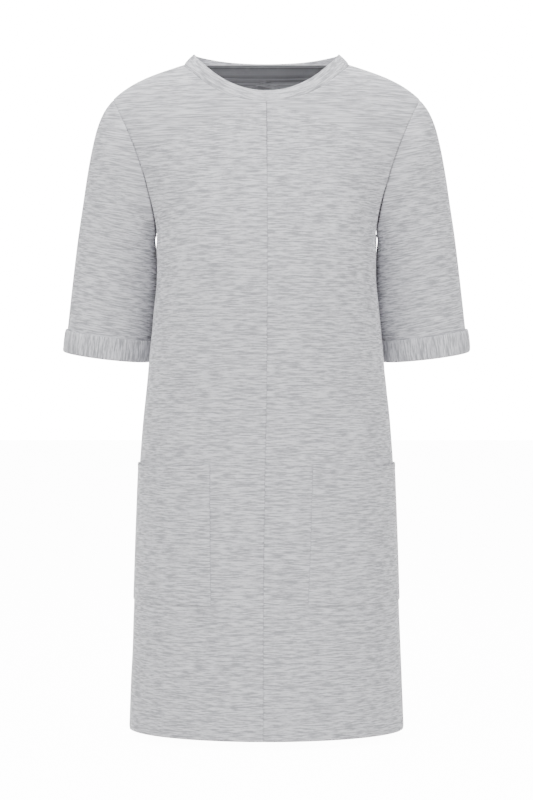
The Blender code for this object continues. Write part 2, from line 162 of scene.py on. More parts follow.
# How thick the folded pieces' own skins are, as they are laid over both faces
FOLDED_SKIN = 0.0006
TAPE_SKIN = 0.0004
POCKET_CLOTH = 0.0012

# Where along the roll of jersey each piece was cut, in metres
FRONT_ROLL = 1.7
BACK_ROLL = 5.0
SLEEVE_ROLL = 8
CUFF_ROLL = 12
BAND_ROLL = 15
TAPE_ROLL = 18
POCKET_ROLL = 20

# The marl's layers of streaks: how many to a metre along and across, and their share
MarlLayer = namedtuple("MarlLayer", "stretch share")
MARL_LAYERS = (
    MarlLayer((62, 640, 1), 0.58),
    MarlLayer((24, 260, 1), 0.30),
    MarlLayer((300, 900, 1), 0.12),
)

Lamp = namedtuple("Lamp", "name place size power")
LAMPS = (
    Lamp("key", (-1.6, -2.6, 1.5), 2.4, 85),
    Lamp("fill", (1.9, -2.4, 0.6), 2.4, 46),
    Lamp("top", (0.0, 0.3, 2.2), 2.0, 70),
)
LAMPS_AIM = (0, 0, -0.45)

Section = namedtuple("Section", "z half_width front back square")
SECTIONS = (
    Section(-0.869, 0.1800, 0.1310, 0.1240, 0.000),
    Section(-0.782, 0.1766, 0.1295, 0.1220, 0.006),
    Section(-0.700, 0.1732, 0.1285, 0.1195, 0.012),
    Section(-0.600, 0.1697, 0.1275, 0.1150, 0.018),
    Section(-0.521, 0.1659, 0.1265, 0.1100, 0.022),
    Section(-0.440, 0.1590, 0.1265, 0.1040, 0.028),
    Section(-0.374, 0.1522, 0.1300, 0.1020, 0.034),
    Section(-0.322, 0.1468, 0.1335, 0.1040, 0.040),
    Section(-0.270, 0.1436, 0.1350, 0.1090, 0.044),
    Section(-0.223, 0.1435, 0.1322, 0.1130, 0.045),
)
YokeRow = namedtuple("YokeRow", "share y z wrap square slope power")
FRONT_YOKE = (
    YokeRow(0.00, -0.1322, -0.2230, 90, 0.045, 0.00, 2.0),
    YokeRow(0.20, -0.1262, -0.1880, 78, 0.035, 0.00, 2.0),
    YokeRow(0.40, -0.1160, -0.1480, 64, 0.020, 0.00, 2.0),
    YokeRow(0.60, -0.1015, -0.1030, 52, 0.000, 0.05, 2.5),
    YokeRow(0.75, -0.0850, -0.0587, 44, 0.000, 0.25, 3.5),
    YokeRow(0.90, -0.0500, -0.0030, 34, 0.000, 0.60, 6.0),
    YokeRow(1.00, 0.0050, 0.0220, 24, 0.000, 0.75, 8.0),
)
BACK_YOKE = (
    YokeRow(0.00, 0.1130, -0.2230, 90, 0.045, 0.00, 2.0),
    YokeRow(0.20, 0.1145, -0.1830, 78, 0.035, 0.00, 2.0),
    YokeRow(0.40, 0.1120, -0.1370, 62, 0.020, 0.00, 2.0),
    YokeRow(0.60, 0.1010, -0.0860, 50, 0.000, 0.05, 2.5),
    YokeRow(0.78, 0.0800, -0.0390, 42, 0.000, 0.25, 3.5),
    YokeRow(0.90, 0.0600, -0.0080, 32, 0.000, 0.60, 6.0),
    YokeRow(1.00, 0.0050, 0.0220, 24, 0.000, 0.75, 8.0),
)
SleeveRing = namedtuple(
    "SleeveRing", "share outer_x outer_z inner_x inner_z y front back pitch bow tuck"
)
SLEEVE_RINGS = (
    SleeveRing(0.00, 0.2017, -0.0470, 0.1435, -0.2230, 0.004, 0.0600, 0.0700, 0, 0.0095, 0),
    SleeveRing(0.05, 0.2120, -0.0610, 0.1456, -0.2290, 0.004, 0.0600, 0.0690, 0, 0.0040, 0.002),
    SleeveRing(0.11, 0.2205, -0.0800, 0.1452, -0.2370, 0.004, 0.0600, 0.0670, 0, 0, 0.008),
    SleeveRing(0.19, 0.2280, -0.1080, 0.1446, -0.2480, 0.005, 0.0590, 0.0640, 0.001, 0, 0.014),
    SleeveRing(0.29, 0.2350, -0.1450, 0.1437, -0.2620, 0.006, 0.0570, 0.0605, 0.001, 0, 0.019),
    SleeveRing(0.40, 0.2410, -0.1840, 0.1434, -0.2780, 0.008, 0.0545, 0.0570, 0.002, 0, 0.022),
    SleeveRing(0.52, 0.2470, -0.2230, 0.1442, -0.2960, 0.010, 0.0520, 0.0535, 0.003, 0, 0.023),
    SleeveRing(0.65, 0.2525, -0.2650, 0.1460, -0.3190, 0.013, 0.0495, 0.0505, 0.004, 0, 0.023),
    SleeveRing(0.78, 0.2575, -0.3060, 0.1485, -0.3400, 0.016, 0.0470, 0.0475, 0.005, 0, 0.022),
    SleeveRing(0.90, 0.2620, -0.3450, 0.1522, -0.3590, 0.019, 0.0450, 0.0445, 0.005, 0, 0.020),
    SleeveRing(1.00, 0.2655, -0.3730, 0.1550, -0.3860, 0.021, 0.0435, 0.0430, 0.005, 0, 0.018),
)
BandLean = namedtuple("BandLean", "turn inward up")
BAND_LEAN = (
    BandLean(0, 0.0118, 0.0152),
    BandLean(50, 0.0122, 0.0148),
    BandLean(90, 0.0152, 0.0118),
    BandLean(115, 0.0095, 0.0167),
    BandLean(145, 0.0050, 0.0185),
    BandLean(180, 0.0045, 0.0187),
)
Drift = namedtuple("Drift", "z centre left_lead right_lead")
DRIFTS = (
    Drift(-0.869, -0.0040, 13.0, -4.0),
    Drift(-0.814, -0.0038, 9.5, -3.0),
    Drift(-0.700, -0.0036, 2.0, -1.0),
    Drift(-0.521, -0.0013, 0.0, 0.0),
    Drift(-0.423, 0.0003, 0.0, 0.0),
    Drift(-0.323, 0.0010, 0.0, 0.0),
    Drift(0.100, 0.0010, 0.0, 0.0),
)
PocketEdge = namedtuple("PocketEdge", "bottom top")

# Soft creases on the body: where each starts and ends, as x out from the centre and
# z, how deep it is and how wide
Crease = namedtuple("Crease", "start_x start_z end_x end_z depth width")
FRONT_CREASES = (
    Crease(0.150, -0.185, 0.105, -0.255, 0.0016, 0.014),
    Crease(0.152, -0.150, 0.118, -0.120, 0.0011, 0.011),
    Crease(0.146, -0.260, 0.096, -0.330, 0.0013, 0.020),
    Crease(0.150, -0.420, 0.070, -0.455, 0.0009, 0.024),
    Crease(0.165, -0.760, 0.080, -0.745, 0.0008, 0.026),
)
BACK_CREASES = (
    Crease(0.150, -0.170, 0.092, -0.235, 0.0020, 0.015),
    Crease(0.155, -0.130, 0.100, -0.105, 0.0014, 0.013),
    Crease(0.145, -0.300, 0.060, -0.350, 0.0018, 0.022),
    Crease(0.140, -0.390, 0.030, -0.415, 0.0014, 0.024),
    Crease(0.160, -0.600, 0.070, -0.640, 0.0010, 0.028),
)


class Side(Enum):
    """The wearer's side that a piece is on."""

    LEFT = 1
    RIGHT = -1

    @property
    def word(self) -> str:
        """The side as part of a name."""
        return self.name.lower()


class Grain(Enum):
    """Which way the jersey's streaks run on a piece."""

    ACROSS = "across"
    UPRIGHT = "upright"


POCKET_EDGES = {
    Side.LEFT: PocketEdge(0.200, 0.214),
    Side.RIGHT: PocketEdge(0.240, 0.257),
}


def smooth(table: Sequence, along: str, name: str, at: float) -> float:
    """Reads a smooth curve through one column of a table.

    Args:
        table: the rows, in rising order of the column they are placed by.
        along: the name of that column.
        name: the name of the column to read.
        at: the place to read it at.

    Returns:
        The curve's value there.
    """
    places = np.array([getattr(row, along) for row in table], float)
    values = np.array([getattr(row, name) for row in table], float)
    slopes = np.gradient(values, places)
    at = min(max(at, places[0]), places[-1])
    i = int(np.clip(np.searchsorted(places, at) - 1, 0, len(places) - 2))
    width = places[i + 1] - places[i]
    t = (at - places[i]) / width
    return float(
        (2 * t**3 - 3 * t**2 + 1) * values[i]
        + (t**3 - 2 * t**2 + t) * width * slopes[i]
        + (3 * t**2 - 2 * t**3) * values[i + 1]
        + (t**3 - t**2) * width * slopes[i + 1]
    )


def across(angle, square):
    """How far out a soft-cornered outline has gone at an angle from its middle.

    Args:
        angle: the angle in radians, a number or an array.
        square: how square the outline is.

    Returns:
        The share of the half width.
    """
    return (np.sin(angle) + square * np.sin(3 * angle)) / (1 - square)


def forward(angle, square):
    """How far forward a soft-cornered outline is at an angle from its middle.

    Args:
        angle: the angle in radians, a number or an array.
        square: how square the outline is.

    Returns:
        The share of the reach.
    """
    return (np.cos(angle) - square * np.cos(3 * angle)) / (1 - square)


def fine_edges(count: int, length: float, both: bool = True) -> np.ndarray:
    """Spaces places evenly, with closer ones beside the edges, where seams roll.

    Args:
        count: how many even steps there are.
        length: the real length that the places run along.
        both: whether the far edge has close places too.

    Returns:
        The places, from 0 to 1.
    """
    near = [step / length for step in EDGE_STEPS]
    even = np.linspace(0, 1, count + 1)
    inner = [p for p in even if near[-1] < p < (1 - near[-1] if both else 1)]
    far = [1 - p for p in reversed(near)] if both else []
    return np.array([0.0] + near + inner + far + [1.0])


@dataclass
class DressForm:
    """The form that the cloth lies on, the same one that the frame's solids have."""

    body_rows: np.ndarray = field(default_factory=lambda: np.zeros(0))

    def __post_init__(self) -> None:
        """Spaces the rows from the hem to the underarm."""
        share = fine_edges(BODY_ROWS, UNDERARM_Z - HEM_Z, both=False)[:-1]
        self.body_rows = HEM_Z + share * (UNDERARM_Z - HEM_Z)

    def armhole_point(self, share: float, front: bool) -> np.ndarray:
        """A point of the left armhole seam.

        Args:
            share: 0 at the underarm and 1 at the shoulder.
            front: whether it is on the front.

        Returns:
            The point.
        """
        turn = math.pi * (1 - share)
        reach = -ARMHOLE_FRONT if front else ARMHOLE_BACK
        (top_x, top_z), (foot_x, foot_z) = SHOULDER_POINT, UNDERARM_POINT
        x = (top_x + foot_x) / 2 + (top_x - foot_x) / 2 * math.cos(turn)
        z = (top_z + foot_z) / 2 + (top_z - foot_z) / 2 * math.cos(turn)
        bow = ARMHOLE_BOW * math.sin(turn) ** 2
        return np.array([x - bow, ARMHOLE_MIDDLE_Y + reach * math.sin(turn), z])

    def body_point(self, turn: float, z: float) -> np.ndarray:
        """A point of the left half of the body below the underarm.

        Args:
            turn: 0 at the centre front, 1 at the side and 2 at the centre back.
            z: its height.

        Returns:
            The point.
        """
        angle = math.radians(90 * turn)
        square = smooth(SECTIONS, "z", "square", z)
        reach = smooth(SECTIONS, "z", "front" if turn < 1 else "back", z)
        x = smooth(SECTIONS, "z", "half_width", z) * across(angle, square)
        y = -reach * forward(angle, square) + ARMHOLE_MIDDLE_Y * (1 - abs(math.cos(angle)))
        return np.array([x, y, z])

    def yoke_point(self, turn: float, share: float, front: bool) -> np.ndarray:
        """A point of the left half above the underarm.

        Args:
            turn: 0 in the middle and 1 at the armhole.
            share: 0 at the underarm and 1 at the shoulder ridge.
            front: whether it is on the front.

        Returns:
            The point.
        """
        table = FRONT_YOKE if front else BACK_YOKE
        y, z, wrap, square, slope, power = (
            smooth(table, "share", name, share)
            for name in ("y", "z", "wrap", "square", "slope", "power")
        )
        edge = self.armhole_point(share, front)
        end = math.radians(wrap)
        out = across(turn * end, square) / across(end, square)
        depth = (forward(turn * end, square) - forward(end, square)) / (
            forward(0, square) - forward(end, square)
        )
        eased = (math.hypot(out, SLOPE_EASE) - SLOPE_EASE) / (
            math.hypot(1, SLOPE_EASE) - SLOPE_EASE
        )
        fall = slope * eased + (1 - slope) * abs(out) ** power
        return np.array([edge[0] * out, edge[1] + (y - edge[1]) * depth, z + (edge[2] - z) * fall])

    def neck_place(self, swing: float, front: bool) -> tuple[float, float]:
        """A place on the neck seam.

        Args:
            swing: 0 at the centre and 1 at the shoulder.
            front: whether it is on the front.

        Returns:
            Its turn and its share on the yoke.
        """
        lowest = FRONT_NECK_SHARE if front else BACK_NECK_SHARE
        curve = FRONT_NECK_CURVE if front else BACK_NECK_CURVE
        angle = swing * math.pi / 2
        share = 1 - (1 - lowest) * max(math.cos(angle), 0.0) ** curve
        table = FRONT_YOKE if front else BACK_YOKE
        end = math.radians(smooth(table, "share", "wrap", share))
        edge = self.armhole_point(share, front)
        x = NECK_HALF_WIDTH * math.sin(angle)
        return math.asin(x / edge[0] * math.sin(end)) / end, share

    def centre_turn(self, side: Side, z: float, front: bool) -> float:
        """The turn of the centre line at a height.

        Args:
            side: the half of the dress.
            z: the height.
            front: whether it is on the front, whose seam wanders.

        Returns:
            The turn.
        """
        if not front:
            return 0.0
        offset = side.value * smooth(DRIFTS, "z", "centre", z)
        return math.asin(offset / smooth(SECTIONS, "z", "half_width", z)) / (math.pi / 2)

    def half(self, side: Side, front: bool) -> np.ndarray:
        """Half a front or half a back.

        Args:
            side: the half of the dress.
            front: whether it is the front.

        Returns:
            Its points, hem first, as rows by columns.
        """
        columns = fine_edges(HALF_COLUMNS, HALF_ROUND)
        rows = []
        for z in self.body_rows:
            start = self.centre_turn(side, z, front)
            lead = smooth(DRIFTS, "z", f"{side.word}_lead", z) / 90
            end = 1 - lead if front else 1 + lead
            turns = start + columns * (end - start)
            rows.append([self.body_point(t if front else 2 - t, z) for t in turns])
        lowest = FRONT_NECK_SHARE if front else BACK_NECK_SHARE
        centre_rows = YOKE_ROWS - NECK_ROWS
        for row in range(YOKE_ROWS + 1):
            if row <= centre_rows:
                share = lowest * row / centre_rows
                fade = (1 - row / centre_rows) ** 0.5
                turn = self.centre_turn(side, UNDERARM_Z, front) * fade
            else:
                turn, share = self.neck_place((row - centre_rows) / NECK_ROWS, front)
            top = row / YOKE_ROWS
            rows.append([
                self.yoke_point(turn + t * (1 - turn), share + t * (top - share), front)
                for t in columns
            ])
        points = np.array(rows)
        points = self.blend_underarm(points, columns)
        points[:, :, 0] *= side.value
        return points

    def blend_underarm(self, points: np.ndarray, columns: np.ndarray) -> np.ndarray:
        """Evens out the cloth where the body meets the yoke.

        Args:
            points: the half panel's points.
            columns: where its columns lie, 0 to 1.

        Returns:
            The evened points.
        """
        join = len(self.body_rows)
        soft = points.copy()
        for _ in range(BLEND_PASSES):
            soft[1:-1] = (soft[:-2] + 2 * soft[1:-1] + soft[2:]) / 4
        rows = np.arange(len(points))
        near = np.exp(-(((rows - join) / BLEND_ROWS) ** 2))[:, None, None]
        inside = (1 - columns**5)[None, :, None]
        return points + near * inside * (soft - points)

    def sleeve_ring(self, side: Side, share: float, turns: np.ndarray) -> np.ndarray:
        """One ring of a sleeve.

        Args:
            side: the sleeve's side.
            share: 0 at the armhole and 1 at the sleeve's end.
            turns: degrees from the shoulder, down the front and up the back.

        Returns:
            The ring's points.
        """
        ring = {n: smooth(SLEEVE_RINGS, "share", n, share) for n in SleeveRing._fields[1:]}
        swing, reach = np.cos(np.radians(turns)), np.sin(np.radians(turns))
        out = (1 + swing) / 2
        x = ring["inner_x"] + (ring["outer_x"] - ring["inner_x"]) * out
        z = ring["inner_z"] + (ring["outer_z"] - ring["inner_z"]) * out
        depth = np.where(reach > 0, ring["front"], ring["back"])
        y = ring["y"] - depth * reach + ring["tuck"] * (1 - out)
        x = side.value * (x - ring["bow"] * reach**2)
        return np.stack([x, y, z - ring["pitch"] * reach], -1)

    def neck_seam(self) -> np.ndarray:
        """The neck seam all the way round, from the centre front to the wearer's left.

        Returns:
            Its points, one for each column of the neckband.
        """
        points = []
        for k in range(RING_POINTS):
            turn = 4 * k / RING_POINTS
            quarter, rest = int(turn), turn - int(turn)
            front = quarter in (0, 3)
            swing = rest if quarter in (0, 2) else 1 - rest
            point = self.yoke_point(*self.neck_place(swing, front), front)
            point[0] *= 1 if quarter < 2 else -1
            points.append(point)
        return np.array(points)


def grid_normals(points: np.ndarray, closed: bool) -> np.ndarray:
    """Normals of a grid of points.

    Args:
        points: rows by columns by 3.
        closed: whether the last column joins the first.

    Returns:
        Unit normals, each row's direction crossed with each column's.
    """
    if closed:
        along = np.roll(points, -1, 1) - np.roll(points, 1, 1)
    else:
        along = np.gradient(points, axis=1)
    up = np.gradient(points, axis=0)
    normals = np.cross(along, up)
    return normals / np.maximum(np.linalg.norm(normals, axis=2), 1e-12)[:, :, None]


def groove(distance: np.ndarray, depth: float = SEAM_DEPTH, width: float = SEAM_WIDTH):
    """How far cloth rolls in beside a seam.

    Args:
        distance: how far each point is from the seam.
        depth: how far the edge rolls in.
        width: how far from the seam the roll reaches.

    Returns:
        The depth at each point.
    """
    return depth * np.exp(-((distance / width) ** 2))


def lengths(points: np.ndarray, axis: int) -> np.ndarray:
    """How far each point of a grid is along its row or column.

    Args:
        points: rows by columns by 3.
        axis: 0 to measure up the columns, 1 to measure along the rows.

    Returns:
        The distances from the first row or column.
    """
    steps = np.linalg.norm(np.diff(points, axis=axis), axis=2)
    start = np.zeros_like(np.take(steps, [0], axis=axis))
    return np.concatenate([start, np.cumsum(steps, axis=axis)], axis=axis)


def crease_depth(points: np.ndarray, creases: Sequence[Crease], side: Side) -> np.ndarray:
    """How far in the soft creases take each point.

    Args:
        points: rows by columns by 3.
        creases: the creases of the panel.
        side: the half of the dress, whose creases differ a little.

    Returns:
        The depth at each point.
    """
    total = np.zeros(points.shape[:2])
    for number, crease in enumerate(creases):
        uneven = 1 + CREASE_UNEVEN * math.sin(2.3 * number + 1.7 * side.value)
        start_z = crease.start_z + CREASE_START_SHIFT * side.value * uneven
        end_z = crease.end_z - CREASE_END_SHIFT * side.value * uneven
        start = np.array([crease.start_x, start_z])
        end = np.array([crease.end_x, end_z])
        flat = np.stack([np.abs(points[:, :, 0]), points[:, :, 2]], -1)
        line = end - start
        t = np.clip(((flat - start) @ line) / (line @ line), 0, 1)
        bow = CREASE_BOW * np.sin(math.pi * t)
        off = np.linalg.norm(flat - start - t[..., None] * line, axis=2) - bow
        fade = np.sin(math.pi * np.clip(0.15 + 0.8 * t, 0, 1))
        valley = np.exp(-((off / crease.width) ** 2))
        beside = (off - RIDGE_PLACE * crease.width) / crease.width
        ridge = RIDGE_HEIGHT * np.exp(-(beside**2))
        total += crease.depth * uneven * fade * (valley - ridge)
    return total


def socket_values(node: bpy.types.Node, values: dict) -> None:
    """Sets constants on a node's inputs.

    Args:
        node: the node.
        values: input names or numbers, and their values.
    """
    for name, value in values.items():
        node.inputs[name].default_value = value


def marl_group() -> bpy.types.NodeTree:
    """Makes the marl effect: short pale and dark streaks along the knitting.

    Returns:
        The shader node group, with a colour and a height.
    """
    group = bpy.data.node_groups.new("marl_jersey", "ShaderNodeTree")
    group.interface.new_socket("Pale", in_out="INPUT", socket_type="NodeSocketColor")
    group.interface.new_socket("Dark", in_out="INPUT", socket_type="NodeSocketColor")
    group.interface.new_socket("Contrast", in_out="INPUT", socket_type="NodeSocketFloat")
    group.interface.new_socket("Color", in_out="OUTPUT", socket_type="NodeSocketColor")
    group.interface.new_socket("Height", in_out="OUTPUT", socket_type="NodeSocketFloat")
    nodes, links = group.nodes, group.links
    start, end = nodes.new("NodeGroupInput"), nodes.new("NodeGroupOutput")
    flat = nodes.new("ShaderNodeUVMap")
    layers = []
    for stretch, share in MARL_LAYERS:
        scaled = nodes.new("ShaderNodeVectorMath")
        scaled.operation = "MULTIPLY"
        scaled.inputs[1].default_value = stretch
        links.new(flat.outputs[0], scaled.inputs[0])
        noise = nodes.new("ShaderNodeTexNoise")
        socket_values(noise, {"Scale": 1.0, "Detail": 2.0, "Roughness": 0.55})
        links.new(scaled.outputs[0], noise.inputs["Vector"])
        weigh = nodes.new("ShaderNodeMath")
        weigh.operation = "MULTIPLY"
        weigh.inputs[1].default_value = share
        links.new(noise.outputs[0], weigh.inputs[0])
        layers.append(weigh)
    total = layers[0]
    for layer in layers[1:]:
        add = nodes.new("ShaderNodeMath")
        links.new(total.outputs[0], add.inputs[0])
        links.new(layer.outputs[0], add.inputs[1])
        total = add
    centred = nodes.new("ShaderNodeMath")
    centred.operation = "SUBTRACT"
    centred.inputs[1].default_value = 0.5
    links.new(total.outputs[0], centred.inputs[0])
    spread = nodes.new("ShaderNodeMath")
    spread.operation = "MULTIPLY_ADD"
    spread.use_clamp = True
    spread.inputs[2].default_value = 0.5
    links.new(centred.outputs[0], spread.inputs[0])
    links.new(start.outputs["Contrast"], spread.inputs[1])
    mix = nodes.new("ShaderNodeMix")
    mix.data_type = "RGBA"
    links.new(spread.outputs[0], mix.inputs["Factor"])
    links.new(start.outputs["Dark"], mix.inputs[6])
    links.new(start.outputs["Pale"], mix.inputs[7])
    links.new(mix.outputs[2], end.inputs["Color"])
    links.new(total.outputs[0], end.inputs["Height"])
    return group


@dataclass
class JerseyFinish:
    """A jersey's look."""

    name: str
    pale: tuple = (0.80, 0.80, 0.835, 1.0)
    dark: tuple = (0.37, 0.37, 0.40, 1.0)
    contrast: float = 6.5
    roughness: float = 0.92
    fuzz: float = 0.12
    bump: float = 0.18

    def make(self, marl: bpy.types.NodeTree) -> bpy.types.Material:
        """Makes the material.

        Args:
            marl: the marl node group.

        Returns:
            The material.
        """
        material = bpy.data.materials.new(self.name)
        material.use_nodes = True
        tree = material.node_tree
        shader = tree.nodes["Principled BSDF"]
        socket_values(shader, {
            "Roughness": self.roughness,
            "Metallic": 0.0,
            "Sheen Weight": self.fuzz,
            "Sheen Roughness": 0.6,
            "Specular IOR Level": 0.15,
        })
        effect = tree.nodes.new("ShaderNodeGroup")
        effect.node_tree = marl
        socket_values(effect, {"Pale": self.pale, "Dark": self.dark, "Contrast": self.contrast})
        bump = tree.nodes.new("ShaderNodeBump")
        socket_values(bump, {"Strength": self.bump, "Distance": 0.0006})
        tree.links.new(effect.outputs["Color"], shader.inputs["Base Color"])
        tree.links.new(effect.outputs["Height"], bump.inputs["Height"])
        tree.links.new(bump.outputs["Normal"], shader.inputs["Normal"])
        return material


@dataclass
class ClothPiece:
    """One cut piece of cloth, as a fine grid with a thickness."""

    name: str
    node: str
    flat: tuple[float, float]
    area: Optional[float] = None
    grain: Grain = Grain.ACROSS
    held: str = "hung"
    thickness: float = CLOTH

    def make(
        self,
        points: np.ndarray,
        uv: np.ndarray,
        material: bpy.types.Material,
        closed: bool = False,
    ) -> None:
        """Lays a primitive grid on the points, thickens it and hands it to the frame.

        Args:
            points: rows by columns by 3, with outward normals.
            uv: each point's place on the flat cut, in metres.
            material: its jersey.
            closed: whether the last column joins the first.
        """
        if closed:
            points = np.concatenate([points, points[:, :1]], 1)
            step = uv[:, -1:] - uv[:, -2:-1]
            uv = np.concatenate([uv, uv[:, -1:] + step], 1)
        rows, columns = points.shape[:2]
        bpy.ops.object.select_all(action="DESELECT")
        bpy.ops.mesh.primitive_grid_add(
            x_subdivisions=columns - 1, y_subdivisions=rows - 1, size=2
        )
        piece = bpy.context.active_object
        piece.name = piece.data.name = self.name
        mesh = piece.data
        place = [
            (
                round((v.co.y + 1) / 2 * (rows - 1)),
                round((v.co.x + 1) / 2 * (columns - 1)),
            )
            for v in mesh.vertices
        ]
        for vertex, (r, c) in zip(mesh.vertices, place):
            vertex.co = points[r, c]
        for loop in mesh.loops:
            u, v = uv[place[loop.vertex_index]]
            mesh.uv_layers.active.data[loop.index].uv = (
                (u, v) if self.grain is Grain.ACROSS else (v, u)
            )
        work = bmesh.new()
        work.from_mesh(mesh)
        bmesh.ops.remove_doubles(work, verts=work.verts, dist=1e-6)
        work.to_mesh(mesh)
        work.free()
        mesh.materials.clear()
        mesh.materials.append(material)
        piece.data.shade_smooth()
        solidify = piece.modifiers.new("cloth_thickness", "SOLIDIFY")
        solidify.thickness = self.thickness
        solidify.offset = -1
        bpy.ops.object.modifier_apply(modifier=solidify.name)
        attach(piece, "root")
        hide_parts(self.node)
        LOG.info("%s: %d faces", self.name, len(mesh.polygons))


def turn_outwards(points: np.ndarray, uv: np.ndarray, inside: Sequence[float]) -> tuple:
    """Reverses a grid's columns where its normals would face in.

    Args:
        points: rows by columns by 3.
        uv: each point's place on the flat cut.
        inside: a point inside the form.

    Returns:
        The grid and its places, with outward normals.
    """
    away = (points - np.array(inside)) * grid_normals(points, False)
    if away.sum() < 0:
        return points[:, ::-1], uv[:, ::-1]
    return points, uv


@dataclass
class Body:
    """The two fronts and the back."""

    form: DressForm
    material: bpy.types.Material

    def flat_places(self, points: np.ndarray, start: float) -> np.ndarray:
        """Each point's place on the flat cut: round the body, and up it.

        Args:
            points: rows by columns by 3, from the centre out.
            start: how far along the cloth's roll this piece was cut.

        Returns:
            The places.
        """
        level = points.copy()
        level[:, :, 2] = 0
        return np.stack([start + lengths(level, 1), 0.98 * points[:, :, 2] + start / 3], -1)

    def shaped(self, side: Side, front: bool) -> np.ndarray:
        """Half a panel with its seams rolled in, its hem and its creases.

        Args:
            side: the half of the dress.
            front: whether it is the front.

        Returns:
            The points.
        """
        points = self.form.half(side, front)
        normals = grid_normals(points, False)
        if ((points - BODY_CENTRE) * normals).sum() < 0:
            normals = -normals
        along = lengths(points, 1)
        to_side = along[:, -1:] - along
        up = lengths(points, 0)
        to_top = up[-1:] - up
        depth = groove(to_side) + groove(to_top)
        if front:
            depth += groove(along)
        depth += crease_depth(points, FRONT_CREASES if front else BACK_CREASES, side)
        # The hem is turned up inside, and its folded edge is rounded
        depth += groove(up, HEM_FOLD_DEPTH, HEM_FOLD_WIDTH)
        return points - depth[..., None] * normals

    def build(self) -> None:
        """Builds the three panels."""
        for side in Side:
            points = self.shaped(side, True)
            uv = self.flat_places(points, FRONT_ROLL + side.value)
            piece = ClothPiece(
                f"front_{side.word}_cloth", f"front_{side.word}", flat=(0.25, 0.90), area=0.193
            )
            piece.make(*turn_outwards(points, uv, BODY_CENTRE), self.material)
        halves = {side: self.shaped(side, False) for side in Side}
        places = {side: self.flat_places(halves[side], 0.0) for side in Side}
        places[Side.RIGHT][..., 0] *= -1
        points = np.concatenate([halves[Side.RIGHT][:, :0:-1], halves[Side.LEFT]], 1)
        uv = np.concatenate([places[Side.RIGHT][:, :0:-1], places[Side.LEFT]], 1) + BACK_ROLL
        piece = ClothPiece("back_cloth", "back", flat=(0.54, 0.91), area=0.380)
        piece.make(*turn_outwards(points, uv, BODY_CENTRE), self.material)


